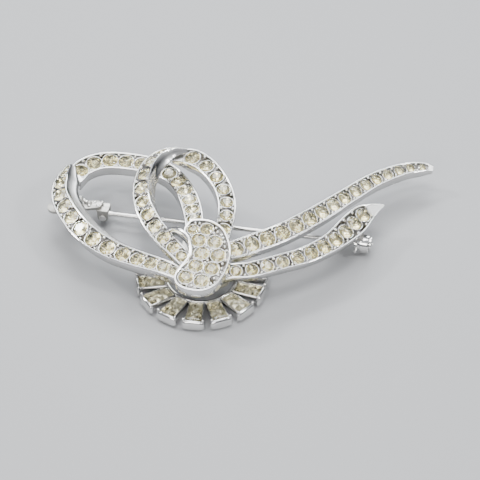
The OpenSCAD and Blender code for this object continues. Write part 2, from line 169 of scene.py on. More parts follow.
def stones_on(path, count, k_first, k_last, crowding, stone_d=3.1, gap=0.08, margin=0.05, least=2.4):
    """Centre, axes, radius and cell of each stone between two places on a band, and the band's run."""
    run = run_of(path)
    lengths, ks, room = [s for s, _ in run], [k for _, k in run], [0.0]
    for (s0, _), (s1, k1) in zip(run, run[1:]):
        room.append(room[-1] + (s1 - s0) / max(station(path, k1)[3], least) ** crowding)
    first = between(k_first, ks, room)
    cell = (between(k_last, ks, room) - first) / count
    rows = []
    for i in range(count):
        k = between(first + (i + 0.5) * cell, room, ks)
        w = station(path, k)[3]
        share = min(1, w / full_width)
        across, along, up = band_axes(path, k)
        along_run = (cell * max(w, least) ** crowding - gap) / 2
        between_walls = w / 2 - wall_at(w) - margin
        rows.append({
            "at": rim_point(path, k) - up * girdle_drop * share, "across": across, "along": along, "up": up,
            "r": min(stone_d / 2, along_run, between_walls), "g": share,
            "lo": between(first + i * cell, room, lengths),
            "hi": between(first + (i + 1) * cell, room, lengths)})
    return rows, run


def add_web(bm, path, stones, run, shelter):
    """Web between the walls: a cell for every stone, with a conical seat through it, and plain ends."""

    def spot(s, side, z):
        k = k_at(run, s)
        w = station(path, k)[3]
        across, _, up = band_axes(path, k)
        return rim_point(path, k) + across * side * (w / 2 - wall_at(w) / 2) + up * z * min(1, w / full_width)

    # Every vertex carries its shelter: the web inside the channel is fully sheltered and its underside
    # partly, and there the metal is painted darker as shade
    def vert(p, hidden=1.0):
        v = bm.verts.new(p * MM)
        v[shelter] = hidden
        return v

    steps = [i / 3 for i in range(6)]
    for stone in stones:
        lo, hi = stone["lo"], stone["hi"]
        edge = [(lo, -1 + t) for t in steps] + [(lo + (hi - lo) * t / 2, 1) for t in steps]
        edge += [(hi, 1 - t) for t in steps] + [(hi - (hi - lo) * t / 2, -1) for t in steps]
        rows = [[vert(spot(s, side, web_top)) for s, side in edge]]
        mouth = (stone["r"] - 0.1, web_top + girdle_drop)
        foot = (stone["r"] * 0.62, web_bottom + girdle_drop)
        for radius, z in (mouth, foot):
            ring = []
            for s, side in edge:
                away = spot(s, side, 0) - stone["at"]
                u, v = away.dot(stone["across"]), away.dot(stone["along"])
                size = radius / math.hypot(u, v)
                ring.append(vert(stone["at"] + (stone["across"] * u + stone["along"] * v) * size
                                 + stone["up"] * z * stone["g"]))
            rows.append(ring)
        rows.append([vert(spot(s, side, web_bottom), 0.6) for s, side in edge])
        skin(bm, rows + rows[:1])
    ends = ((0.0, stones[0]["lo"]), (stones[-1]["hi"], run[-1][0]))
    for lo, hi in ends:
        if hi - lo < 0.25:
            continue
        cuts = [lo + (hi - lo) * i / 6 for i in range(7)]
        edge = [(side, plain_top) for side in (-1, 0, 1)] + [(side, web_bottom) for side in (1, 0, -1)]
        loops = [[vert(spot(s, side, z), satin_finish if z > web_top else 1.0) for side, z in edge]
                 for s in cuts]
        skin(bm, loops)
        bm.faces.new(loops[0])
        bm.faces.new(reversed(loops[-1]))


def finished(bm, name, smooth_to=50):
    """A mesh object from bm, its doubles merged, its faces outwards and its sharp edges kept."""
    bmesh.ops.remove_doubles(bm, verts=bm.verts, dist=1e-8)
    bmesh.ops.recalc_face_normals(bm, faces=bm.faces)
    mesh = bpy.data.meshes.new(name)
    bm.to_mesh(mesh)
    bm.free()
    mesh.shade_smooth()
    mesh.set_sharp_from_angle(angle=math.radians(smooth_to))
    obj = bpy.data.objects.new(name, mesh)
    bpy.context.scene.collection.objects.link(obj)
    return obj


def band(name, path, stones, run, depth=2.6, flare=0.0, lip=0.0):
    """A stone-set ribbon with its two walls and pierced web."""
    bm = bmesh.new()
    shelter = bm.verts.layers.float.new("shelter")
    cuts = [i / 10 for i in range((len(path) - 1) * 10 + 1)]
    for side in (1, -1):
        rings = []
        for k in cuts:
            across, _, up = band_axes(path, k)
            foot = -0.1 if side > 0 else max(flare, -0.1)
            section = wall_section(station(path, k)[3], depth, foot, lip if side < 0 else 0)
            rim = rim_point(path, k)
            rings.append([(rim + across * side * a + up * z, hidden) for a, z, hidden in section])
        add_sweep(bm, rings, shelter)
    add_web(bm, path, stones, run, shelter)
    return finished(bm, name)


# Plating: fine rubbing marks, a cloudy bloom, and a patchy dark colour laid by how sheltered the metal is:
# painted shade in the hollows of the ribbons and knot, and an even film of dirt on metal that has no shelter
# of its own
plating = bpy.data.node_groups.new("Worn plating and painted shade", "ShaderNodeTree")
for name, kind, value in (
    ("Place", "NodeSocketVector", None), ("Metal", "NodeSocketColor", (0.8, 0.8, 0.8, 1)),
    ("Dirt", "NodeSocketColor", (0.1, 0.09, 0.07, 1)), ("Shelter", "NodeSocketFloat", 0.0),
    ("Dirt amount", "NodeSocketFloat", 0.6), ("Polish", "NodeSocketFloat", 0.12),
    ("Rubbing", "NodeSocketFloat", 0.1), ("Grain size", "NodeSocketFloat", 1.0),
):
    socket = plating.interface.new_socket(name=name, in_out="INPUT", socket_type=kind)
    if value is not None:
        socket.default_value = value
for name, kind in (("Colour", "Color"), ("Roughness", "Float"), ("Height", "Float")):
    plating.interface.new_socket(name=name, in_out="OUTPUT", socket_type="NodeSocket" + kind)


def node(tree, kind, inputs=(), **settings):
    """A node with its settings, and its inputs set to values or joined to other nodes' outputs."""
    made = tree.nodes.new(kind)
    for key, value in settings.items():
        setattr(made, key, value)
    for key, value in dict(inputs).items():
        if isinstance(value, bpy.types.NodeSocket):
            tree.links.new(value, made.inputs[key])
        else:
            made.inputs[key].default_value = value
    return made


def maths(tree, operation, a, b=0.0, c=0.0, clamp=False):
    return node(tree, "ShaderNodeMath", {0: a, 1: b, 2: c}, operation=operation, use_clamp=clamp).outputs[0]


def noise(tree, place, scale, detail):
    made = node(tree, "ShaderNodeTexNoise", {"Vector": place, "Scale": scale, "Detail": detail})
    return made.outputs["Fac"]


def start_material(name):
    """A new material, its tree, its shader's inputs and the coordinates of the object that wears it."""
    material = bpy.data.materials.new(name)
    material.use_nodes = True
    tree = material.node_tree
    place = node(tree, "ShaderNodeTexCoord").outputs["Object"]
    return material, tree, tree.nodes["Principled BSDF"].inputs, place


g_in = node(plating, "NodeGroupInput").outputs
g_out = node(plating, "NodeGroupOutput").inputs
bloom = noise(plating, g_in["Place"], 420.0, 4.0)
specks = noise(plating, g_in["Place"], 2600.0, 2.0)
marks = []
for turn, squeeze in (((0.2, 0.3, 0.5), (260.0, 5200.0, 900.0)), ((0.1, -0.4, 1.9), (300.0, 4300.0, 700.0))):
    laid = {"Vector": g_in["Place"], "Rotation": turn, "Scale": squeeze}
    streak = noise(plating, node(plating, "ShaderNodeMapping", laid).outputs[0], g_in["Grain size"], 1.0)
    marks.append(maths(plating, "MULTIPLY_ADD", streak, 9.0, -5.4, clamp=True))
rubbed = maths(plating, "MAXIMUM", marks[0], marks[1])
patchy = maths(plating, "MULTIPLY_ADD", bloom, 1.5, 0.15, clamp=True)
# Painted shade and dirt: the dark colour is mixed in, in patches, by the shelter, so sheltered hollows are
# painted darker as if in shade
shade_and_dirt = maths(plating, "MULTIPLY", g_in["Shelter"], patchy)
shade_and_dirt = maths(plating, "MULTIPLY", shade_and_dirt, g_in["Dirt amount"], clamp=True)
clouded = maths(plating, "MULTIPLY_ADD", bloom, 0.16, 0.92)
# The sockets 6 and 7 of a Mix node are its two colours, and 2 is the colour that it gives
blend = {0: shade_and_dirt, 6: g_in["Metal"], 7: g_in["Dirt"]}
mixed = node(plating, "ShaderNodeMix", blend, data_type="RGBA").outputs[2]
toned = node(plating, "ShaderNodeHueSaturation", {"Color": mixed, "Value": clouded}).outputs[0]
plating.links.new(toned, g_out["Colour"])
rough = maths(plating, "MULTIPLY_ADD", bloom, 0.09, g_in["Polish"])
rough = maths(plating, "ADD", rough, maths(plating, "MULTIPLY", rubbed, g_in["Rubbing"]))
# A shelter below 0 stands for metal that is left satin: it takes no painted shade and no dirt, and is rougher
unpolished = maths(plating, "MULTIPLY", g_in["Shelter"], -0.45, clamp=True)
rough = maths(plating, "ADD", rough, unpolished)
rough = maths(plating, "MULTIPLY_ADD", shade_and_dirt, 0.3, rough, clamp=True)
plating.links.new(rough, g_out["Roughness"])
relief = maths(plating, "MULTIPLY_ADD", rubbed, -0.35, maths(plating, "MULTIPLY", specks, 0.3))
plating.links.new(relief, g_out["Height"])


def plated(name, metal, polish, rubbing, shade_and_dirt_amount, grain=1.0, relief_mm=0.012, sheltered=False):
    """A plated metal, with its own colour, polish and wear; where it is sheltered, painted shade darkens it.
    """
    material, tree, shader, place = start_material(name)
    # The dark colour is painted shade in sheltered hollows, and dirt where the shelter is the even 0.35
    values = {
        "Place": place, "Metal": (*metal, 1), "Dirt": (0.045, 0.04, 0.03, 1), "Shelter": 0.35,
        "Dirt amount": shade_and_dirt_amount, "Polish": polish, "Rubbing": rubbing, "Grain size": grain,
    }
    # The mesh's own shelter then paints shade into its hollows
    if sheltered:
        values["Shelter"] = node(tree, "ShaderNodeAttribute", attribute_name="shelter").outputs["Fac"]
    worn = node(tree, "ShaderNodeGroup", values, node_tree=plating).outputs
    tree.links.new(worn["Colour"], shader["Base Color"])
    tree.links.new(worn["Roughness"], shader["Roughness"])
    bump = {"Height": worn["Height"], "Distance": relief_mm * MM, "Strength": 0.6}
    tree.links.new(node(tree, "ShaderNodeBump", bump).outputs[0], shader["Normal"])
    shader["Metallic"].default_value = 1.0
    return material


cast_metal = plated("Cast ribbon, rhodium", (0.88, 0.875, 0.86), 0.07, 0.06, 1.0, sheltered=True)


def put_on(obj, material, body="brooch", replaced=()):
    """Gives a finished piece its material and its body, and hides the solids it stands for."""
    if material is not None:
        obj.data.materials.clear()
        obj.data.materials.append(material)
    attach(obj, body)
    if replaced:
        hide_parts(*replaced)


bands = []


def cast(name, path, row, **form):
    """Casts one ribbon, and notes it for the stones, collars and beads that it holds."""
    bands.append((name, path, row))
    put_on(band("band_" + name, path, *row, **form), cast_metal, replaced=[name])


cast("outer_front", front_path, stones_on(front_path, 14, 0.1, 7.85, 2), flare=1.1)

# --- Big loop, back band ---
# The same ribbon after it has turned over: it leaves the fold at the far left, runs round the back of the
# loop and passes under the small loop to the knot, where it is soldered.

back_path = [
    [-32.3, 6.0, 7.2, 3.4, 10],
    [-30.9, 9.7, 7.4, 3.9, 12],
    [-27.3, 11.9, 7.6, 3.9, 12],
    [-21.9, 12.3, 7.6, 3.9, 12],
    [-16.9, 11.5, 7.6, 3.9, 10],
    [-12.9, 8.9, 7.8, 3.8, 6],
    [-9.7, 4.3, 8.2, 3.7, 5],
    [-7.5, -1.1, 8.8, 3.6, 5],
    [-6.1, -6.4, 9.3, 3.3, 5],
    [-5.2, -9.4, 8.9, 3.1, 5],
]
cast("outer_back", back_path, stones_on(back_path, 13, 0.3, 8.2, 0.5))

# --- Small loop, left band ---
# A narrower casting that rises from the knot and arches over the big loop. Its inner wall ends in a
# thin flange, and the band narrows to nothing where the ribbon folds over at the top.

left_path = [
    [-10.9, 12.1, 12.6, 0.5, 38],
    [-13.9, 11.7, 12.8, 2.2, 36],
    [-16.4, 10.0, 12.6, 3.3, 33],
    [-17.9, 6.7, 12.2, 3.5, 30],
    [-18.1, 2.3, 11.6, 3.5, 26],
    [-17.1, -1.9, 11.0, 3.4, 22],
    [-14.7, -6.1, 10.4, 3.4, 20],
    [-11.5, -9.9, 10.0, 3.4, 18],
    [-8.1, -12.9, 9.6, 3.0, 15],
    [-5.8, -14.5, 8.4, 2.6, 8],
]
cast("bow_left", left_path, stones_on(left_path, 11, 0.75, 8.7, 2), lip=0.14)

# --- Small loop, right band ---
# The other half of the small loop. It starts under the fold with a short plain stretch and comes down
# to the knot, each stone a little smaller than the band is wide.

right_path = [
    [-13.8, 10.6, 11.2, 1.0, 12],
    [-10.7, 11.4, 11.5, 3.6, 12],
    [-7.1, 9.5, 11.6, 3.7, 8],
    [-3.7, 5.7, 11.4, 3.5, 2],
    [-1.5, 1.3, 11.0, 3.4, -3],
    [-0.7, -3.1, 10.6, 3.3, -5],
    [-0.7, -8.4, 9.9, 3.1, -5],
]
cast("bow_right", right_path, stones_on(right_path, 7, 0.72, 5.85, 1))

# --- Long tail ---
# The longer loose end of the ribbon, cast like the loops. It leaves the knot at full width and tapers
# to a point, its stones shrinking with it.

long_path = [
    [0.9, -10.1, 8.4, 3.4, 22],
    [5.1, -6.9, 8.1, 3.8, 22],
    [10.5, -2.3, 7.8, 3.8, 22],
    [15.7, 3.5, 7.5, 3.7, 20],
    [20.7, 10.1, 7.0, 3.4, 20],
    [25.5, 16.3, 6.5, 3.1, 18],
    [30.5, 20.7, 6.0, 2.7, 15],
    [34.1, 22.5, 5.5, 2.2, 14],
    [36.2, 22.6, 5.2, 1.1, 14],
]
cast("long_tail", long_path, stones_on(long_path, 16, 0.04, 7.5, 0.7))

# --- Short tail ---
# The shorter loose end, with a leaf-shaped tip. Its walls are shallower than the others, because the
# catch sits behind it.

short_path = [
    [0.6, -15.2, 7.8, 2.7, 20],
    [2.4, -14.6, 8.0, 2.9, 22],
    [5.7, -13.5, 7.8, 3.1, 22],
    [10.5, -10.6, 7.6, 3.2, 20],
    [15.3, -7.3, 7.3, 3.4, 20],
    [19.5, -2.9, 7.1, 3.9, 20],
    [22.5, 2.1, 6.9, 4.8, 20],
    [24.5, 6.1, 6.6, 4.0, 20],
    [27.7, 9.3, 6.4, 0.5, 20],
]
cast("short_tail", short_path, stones_on(short_path, 11, 0.63, 7.25, 0), depth=2.1)

# --- Round stones ---
# Machine-cut glass brilliants, pale champagne, foiled behind so that they throw the light back. Each
# lies in its seat at its own small angle, which is why no two glint alike.


def brilliant():
    """A round brilliant of radius 1 with its girdle at 0, its pavilion marked as foiled."""
    bm = bmesh.new()
    foiled = bm.faces.layers.float.new("foiled")

    def ring(count, radius, z, start=0.0):
        return [bm.verts.new((radius * math.cos(a), radius * math.sin(a), z))
                for a in (math.tau * (i + start) / count for i in range(count))]

    table, star = ring(8, 0.56, 0.34, 0.5), ring(8, 0.76, 0.22)
    upper, lower = ring(16, 1.0, 0.04), ring(16, 1.0, -0.04)
    pavilion, culet = ring(8, 0.36, -0.54), bm.verts.new((0, 0, -0.84))
    bm.faces.new(table)
    for i in range(8):
        j, left, mid, right = (i + 1) % 8, upper[2 * i], upper[2 * i + 1], upper[(2 * i + 2) % 16]
        bm.faces.new((table[i - 1], star[i], table[i]))
        bm.faces.new((table[i], star[i], mid, star[j]))
        bm.faces.new((star[i], left, mid))
        bm.faces.new((star[j], mid, right))
        low_left, low_mid, low_right = lower[2 * i], lower[2 * i + 1], lower[(2 * i + 2) % 16]
        bm.faces.new((left, low_left, low_mid, mid))
        bm.faces.new((mid, low_mid, low_right, right))
        for corners in ((low_left, pavilion[i], low_mid), (low_mid, pavilion[j], low_right),
                        (pavilion[i], culet, pavilion[j], low_mid)):
            bm.faces.new(corners)[foiled] = 1.0
    bmesh.ops.recalc_face_normals(bm, faces=bm.faces)
    mesh = bpy.data.meshes.new("Cut brilliant")
    bm.to_mesh(mesh)
    bm.free()
    return bpy.data.objects.new("Cut brilliant", mesh)


def seats(name, rows):
    """Loose points, one for each thing to be set, with its size and the directions it faces."""
    mesh = bpy.data.meshes.new(name)
    mesh.from_pydata([row["at"] * MM for row in rows], [], [])
    for key, kind in (("size", "FLOAT"), ("up", "FLOAT_VECTOR"), ("across", "FLOAT_VECTOR")):
        layer = mesh.attributes.new(key, kind, "POINT")
        for item, row in zip(layer.data, rows):
            if key == "size":
                item.value = row["r"] * MM
            else:
                item.vector = row[key]
    obj = bpy.data.objects.new(name, mesh)
    bpy.context.scene.collection.objects.link(obj)
    return obj


def new_tree(name, inputs):
    """An empty geometry tree with named inputs, and the nodes that bring them in and the mesh out."""
    tree = bpy.data.node_groups.new(name, "GeometryNodeTree")
    tree.interface.new_socket(name="Geometry", in_out="INPUT", socket_type="NodeSocketGeometry")
    tree.interface.new_socket(name="Geometry", in_out="OUTPUT", socket_type="NodeSocketGeometry")
    for key, kind in inputs:
        tree.interface.new_socket(name=key, in_out="INPUT", socket_type=kind)
    return tree, node(tree, "NodeGroupInput").outputs, node(tree, "NodeGroupOutput").inputs


def named(tree, name, kind):
    return node(tree, "GeometryNodeInputNamedAttribute", {"Name": name}, data_type=kind).outputs["Attribute"]


def xyz(tree, x, y, z=0.0):
    return node(tree, "ShaderNodeCombineXYZ", {0: x, 1: y, 2: z}).outputs[0]


def leaned(tree, instances, tilt, spin, seed):
    """Gives every instance a seeded lean up to tilt and a turn up to spin."""
    back = maths(tree, "MULTIPLY", tilt, -1.0)
    reach = {"Min": xyz(tree, back, back), "Max": xyz(tree, tilt, tilt, spin), "Seed": seed}
    lean = node(tree, "FunctionNodeRandomValue", reach, data_type="FLOAT_VECTOR").outputs[0]
    return node(tree, "GeometryNodeRotateInstances", {"Instances": instances, "Rotation": lean}).outputs[0]


def set_on_points(tree, points, shape, spin=None, tilt=None):
    """Puts shape on every point, facing the way the point says, with a seeded turn and tilt of its own."""
    axes = {0: named(tree, "up", "FLOAT_VECTOR"), 1: named(tree, "across", "FLOAT_VECTOR")}
    facing = node(tree, "FunctionNodeAxesToRotation", axes, primary_axis="Z", secondary_axis="X").outputs[0]
    stand = {"Points": points, "Instance": shape, "Rotation": facing, "Scale": named(tree, "size", "FLOAT")}
    placed = node(tree, "GeometryNodeInstanceOnPoints", stand).outputs[0]
    if spin is not None:
        placed = leaned(tree, placed, tilt, spin, 7)
    return node(tree, "GeometryNodeRealizeInstances", {"Geometry": placed}).outputs[0]


def finish_tree(tree, mesh, material, out, foil_material=None):
    """Ends a tree with the mesh in its material, its foiled faces in another one."""
    done = node(tree, "GeometryNodeSetMaterial", {"Geometry": mesh, "Material": material}).outputs[0]
    if foil_material is not None:
        behind = maths(tree, "GREATER_THAN", named(tree, "foiled", "FLOAT"), 0.5)
        last = {"Geometry": done, "Selection": behind, "Material": foil_material}
        done = node(tree, "GeometryNodeSetMaterial", last).outputs[0]
    tree.links.new(done, out["Geometry"])


stone_tree, s_in, s_out = new_tree("Stones in their seats", [
    ("Cut stone", "NodeSocketObject"), ("Spin", "NodeSocketFloat"), ("Tilt", "NodeSocketFloat"),
    ("Glass", "NodeSocketMaterial"), ("Foil", "NodeSocketMaterial")])
cut = node(stone_tree, "GeometryNodeObjectInfo", {"Object": s_in["Cut stone"]}).outputs["Geometry"]
set_stones = set_on_points(stone_tree, s_in["Geometry"], cut, s_in["Spin"], s_in["Tilt"])
finish_tree(stone_tree, set_stones, s_in["Glass"], s_out, s_in["Foil"])


def grown(obj, tree, values):
    """Runs a geometry tree on obj and keeps its result as obj's plain mesh."""
    modifier = obj.modifiers.new(tree.name, "NODES")
    modifier.node_group = tree
    for item in tree.interface.items_tree:
        if item.in_out == "INPUT" and item.name in values:
            modifier[item.identifier] = values[item.name]
    seen = obj.evaluated_get(bpy.context.evaluated_depsgraph_get())
    mesh = bpy.data.meshes.new_from_object(seen)
    obj.modifiers.remove(modifier)
    obj.data = mesh
    return obj


def ramp(tree, factor, low, high):
    """A colour that goes from the low stop to the high one, each given as its place and its colour."""
    made = node(tree, "ShaderNodeValToRGB", {"Fac": factor})
    for stop, (position, colour) in zip(made.color_ramp.elements, (low, high)):
        stop.position, stop.color = position, (*colour, 1)
    return made.outputs[0]


def cut_glass(name, colour, ior=1.56):
    """Clear cut glass with a faint tint and a few dusty patches."""
    material, tree, shader, place = start_material(name)
    deeper = [c * f for c, f in zip(colour, (0.99, 0.98, 0.94))]
    tint = ramp(tree, noise(tree, place, 520.0, 2.0), (0.35, deeper), (0.65, colour))
    tree.links.new(tint, shader["Base Color"])
    dust = maths(tree, "MULTIPLY_ADD", noise(tree, place, 1900.0, 3.0), 0.16, -0.07, clamp=True)
    tree.links.new(dust, shader["Roughness"])
    shader["Transmission Weight"].default_value = 1.0
    shader["IOR"].default_value = ior
    return material


def foil(name, haze=0.0, crinkle_mm=0.01, colour=(0.99, 0.96, 0.8), aged=(0.95, 0.9, 0.66)):
    """Mirror foil behind a stone, yellowed, spotted and a little crinkled with age."""
    material, tree, shader, place = start_material(name)
    spots = noise(tree, place, 330.0, 3.0)
    tree.links.new(ramp(tree, spots, (0.36, aged), (0.58, colour)), shader["Base Color"])
    tree.links.new(maths(tree, "MULTIPLY_ADD", spots, 0.25, haze, clamp=True), shader["Roughness"])
    creases = node(tree, "ShaderNodeTexVoronoi", {"Vector": place, "Scale": 1300.0}).outputs["Distance"]
    bump = node(tree, "ShaderNodeBump", {"Height": creases, "Distance": crinkle_mm * MM, "Strength": 0.7})
    tree.links.new(bump.outputs[0], shader["Normal"])
    shader["Metallic"].default_value = 1.0
    return material


round_glass = cut_glass("Champagne glass, round stones", (1.0, 0.98, 0.88))
round_foil = foil("Foil behind the round stones")
brilliant_cut = brilliant()


def set_brilliants(name, rows, tilt):
    """Sets a row of round stones, none of them leaning by more than tilt degrees."""
    stones = grown(seats("brilliants_" + name, rows), stone_tree, {
        "Cut stone": brilliant_cut, "Spin": math.tau, "Tilt": math.radians(tilt), "Glass": round_glass,
        "Foil": round_foil})
    put_on(stones, None, replaced=["stones_" + name])


for name, _, row in bands:
    set_brilliants(name, row[0], 2.5)

# --- Collars and beads ---
# Each stone drops into a thin raised collar, and small beads of metal are pushed over its edge from
# the corners between one stone and the next. Both are part of the casting.

bright_metal = plated("Polished edges, rhodium", (0.9, 0.895, 0.88), 0.05, 0.1, 0.35)

collar_tree, c_in, c_out = new_tree(
    "Collars round the stones", [("Wire", "NodeSocketFloat"), ("Metal", "NodeSocketMaterial")])
hoop, wire = (
    node(collar_tree, "GeometryNodeCurvePrimitiveCircle", {"Resolution": points, "Radius": radius}).outputs[0]
    for points, radius in ((24, 1.03), (6, c_in["Wire"])))
collar = node(collar_tree, "GeometryNodeCurveToMesh", {"Curve": hoop, "Profile Curve": wire}).outputs[0]
finish_tree(collar_tree, set_on_points(collar_tree, c_in["Geometry"], collar), c_in["Metal"], c_out)

bead_tree, b_in, b_out = new_tree(
    "Beads between the stones", [("Height", "NodeSocketFloat"), ("Metal", "NodeSocketMaterial")])
sphere = {"Segments": 10, "Rings": 6, "Radius": 1.0}
ball = node(bead_tree, "GeometryNodeMeshUVSphere", sphere).outputs["Mesh"]
tall = xyz(bead_tree, 1.0, 1.0, b_in["Height"])
bead = node(bead_tree, "GeometryNodeTransform", {"Geometry": ball, "Scale": tall}).outputs[0]
finish_tree(bead_tree, set_on_points(bead_tree, b_in["Geometry"], bead), b_in["Metal"], b_out)


def beads_between(path, stones, run):
    """Two beads in the gap between two stones, one at each wall."""
    rows = []
    for s in [stones[0]["lo"]] + [stone["hi"] for stone in stones]:
        if s < 0.2 or s > run[-1][0] - 0.2:
            continue
        k = k_at(run, s)
        w = station(path, k)[3]
        across, _, up = band_axes(path, k)
        share = min(1, w / full_width)
        for side in (-1, 1):
            at = rim_point(path, k) + across * side * (w / 2 - wall_at(w) - 0.24 * share) - up * 0.22 * share
            rows.append({"at": at, "up": up, "across": across, "r": 0.32 * share})
    return rows


def set_metal(name, rows, tree, values):
    """Sets collars or beads, smooth and polished."""
    obj = grown(seats(name, rows), tree, {**values, "Metal": bright_metal})
    obj.data.shade_smooth()
    put_on(obj, None)


for name, path, row in bands:
    rings = [dict(stone, at=stone["at"] - stone["up"] * 0.02) for stone in row[0]]
    set_metal("collars_" + name, rings, collar_tree, {"Wire": 0.07})
    set_metal("beads_" + name, beads_between(path, *row), bead_tree, {"Height": 1.25})

# --- Foundation plate ---
# A sheet of plated metal behind the knot, with a post under the end of every ribbon and two legs down to
# the fan's ring. Everything is soldered to it, and it is left duller than the face.

sheet_metal = plated("Sheet and solder, dull plate", (0.52, 0.51, 0.48), 0.24, 0.2, 0.75, grain=0.6)


def finish_solid(name, material):
    """Gives a solid of the frame its metal."""
    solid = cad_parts[name]
    solid.data.materials.clear()
    solid.data.materials.append(material)


finish_solid("foundation_plate", sheet_metal)

# --- Knot ---
# A curled drop of thick metal with a high polished edge, paved with ten stones held by beads. It
# slopes towards the fan and covers the ends of all the ribbons.

knot_at = Vector((-2.6, -15.5, 11.0))
knot_tip = Matrix.Rotation(math.radians(14), 3, "X")
knot_outline = [
    [-4.8, 6.3], [-3.6, 8.2], [-0.4, 8.5], [2.2, 7.1], [3.6, 4.9], [4.5, 2.4], [4.5, -0.2],
    [4.0, -2.8], [2.8, -5.2], [0.7, -6.6], [-1.9, -6.7], [-4.0, -5.9], [-4.8, -4.2],
    [-4.3, -2.4], [-3.2, -0.6], [-2.7, 1.4], [-3.4, 3.4], [-4.5, 4.9],
]
knot_stones = [
    [-3.15, 6.2, 0.79], [-0.7, 6.6, 0.9], [-1.8, 4.05, 1], [1.2, 4.05, 1], [-0.75, 1.35, 1],
    [2.3, 1.3, 1], [-1.35, -1.4, 1], [1.6, -1.6, 1], [-2.7, -4, 1], [0.2, -4.4, 1],
]
knot_depth, knot_rim, knot_pocket = 2.5, 0.45, 0.5
knot_stone_r = 1.4


def on_knot(x, y, z):
    return knot_at + knot_tip @ Vector((x, y, z))


def smooth_outline(corners, steps=6):
    """A closed curve through the corners, as points and their outward directions."""
    n = len(corners)
    points = []
    for i in range(n):
        a, b, c, d = (corners[(i + j) % n] for j in (-1, 0, 1, 2))
        points += [Vector(spline(a, b, c, d, step / steps)) for step in range(steps)]
    m = len(points)
    facing = []
    for i in range(m):
        run = (points[(i + 1) % m] - points[i - 1]).normalized()
        facing.append(Vector((-run.y, run.x)))
    return points, facing


bm = bmesh.new()
shelter = bm.verts.layers.float.new("shelter")
edge_points, facing = smooth_outline(knot_outline)
# Each level's shelter paints shade: the pocket fully, the underside in part, the polished top not at all
levels = [  # inset, height, shelter
    (0.3, -knot_depth, 0.6), (0.12, -knot_depth, 0.5), (0.02, -2.4, 0.3), (0.0, -2.2, 0.1), (0.0, -0.2, 0),
    (0.03, -0.08, 0), (0.12, 0.0, 0), (0.3, 0.0, 0), (0.39, -0.06, 0.1), (0.43, -0.18, 0.5),
    (knot_rim, -knot_pocket, 1), (0.7, -knot_pocket, 1),
]
rows = []
for inset, z, hidden in levels:
    drawn_in = [p - d * inset for p, d in zip(edge_points, facing)]
    rows.append([bm.verts.new(on_knot(p.x, p.y, z) * MM) for p in drawn_in])
    for v in rows[-1]:
        v[shelter] = hidden
skin(bm, rows)
bm.faces.new(rows[0])
bm.faces.new(rows[-1])
knot = finished(bm, "knot_setting")
knot_up, knot_across = knot_tip @ Vector((0, 0, 1)), knot_tip @ Vector((1, 0, 0))


def knot_seat(x, y, radius):
    return {"at": on_knot(x, y, -girdle_drop), "up": knot_up, "across": knot_across, "r": radius}


knot_rows = [knot_seat(x, y, knot_stone_r * share) for x, y, share in knot_stones]
drill_points = seats("knot_seats", knot_rows)

# A countersunk seat is bored for every stone, through the floor of the pocket
bore_tree, d_in, d_out = new_tree("Bored seats", [
    ("Seats", "NodeSocketObject"), ("Mouth", "NodeSocketFloat"), ("Foot", "NodeSocketFloat"),
    ("Depth", "NodeSocketFloat"), ("Metal", "NodeSocketMaterial")])
cone = {"Vertices": 24, "Radius Top": d_in["Mouth"], "Radius Bottom": d_in["Foot"], "Depth": d_in["Depth"]}
drill = node(bore_tree, "GeometryNodeMeshCone", cone).outputs["Mesh"]
sunk = xyz(bore_tree, 0.0, 0.0, maths(bore_tree, "MULTIPLY_ADD", d_in["Depth"], -1.0, 0.15))
drill = node(bore_tree, "GeometryNodeTransform", {"Geometry": drill, "Translation": sunk}).outputs[0]
drill_at = node(bore_tree, "GeometryNodeObjectInfo", {"Object": d_in["Seats"]}).outputs["Geometry"]
# The bored walls get full shelter, which paints them in shade
drills = {"Geometry": set_on_points(bore_tree, drill_at, drill), "Name": "shelter", "Value": 1.0}
hidden_in = node(
    bore_tree, "GeometryNodeStoreNamedAttribute", drills, data_type="FLOAT", domain="POINT").outputs[0]
bored = node(bore_tree, "GeometryNodeMeshBoolean", {"Mesh 1": d_in["Geometry"], "Mesh 2": hidden_in},
             operation="DIFFERENCE", solver="EXACT").outputs["Mesh"]
finish_tree(bore_tree, bored, d_in["Metal"], d_out)
knot = grown(knot, bore_tree, {
    "Seats": drill_points, "Mouth": 1.1, "Foot": 0.3, "Depth": 1.25, "Metal": cast_metal})
bpy.data.objects.remove(drill_points)
# The bored walls and the pocket's floor are sheltered, and the underside partly so: there the plating paints
# the metal darker as shade
inside_rim = 0.41
for v, hidden in zip(knot.data.vertices, knot.data.attributes["shelter"].data):
    place = knot_tip.inverted() @ (v.co / MM - knot_at)
    inset = min((p - place.xy).length for p in edge_points)
    if inset > inside_rim and -2.3 < place.z < -0.2:
        hidden.value = 1.0
    elif inset >= inside_rim:
        hidden.value = 0.4
knot.data.set_sharp_from_angle(angle=math.radians(40))
put_on(knot, None, replaced=["knot_plate"])
set_brilliants("knot", knot_rows, 3)
set_metal("collars_knot", knot_rows, collar_tree, {"Wire": 0.055})

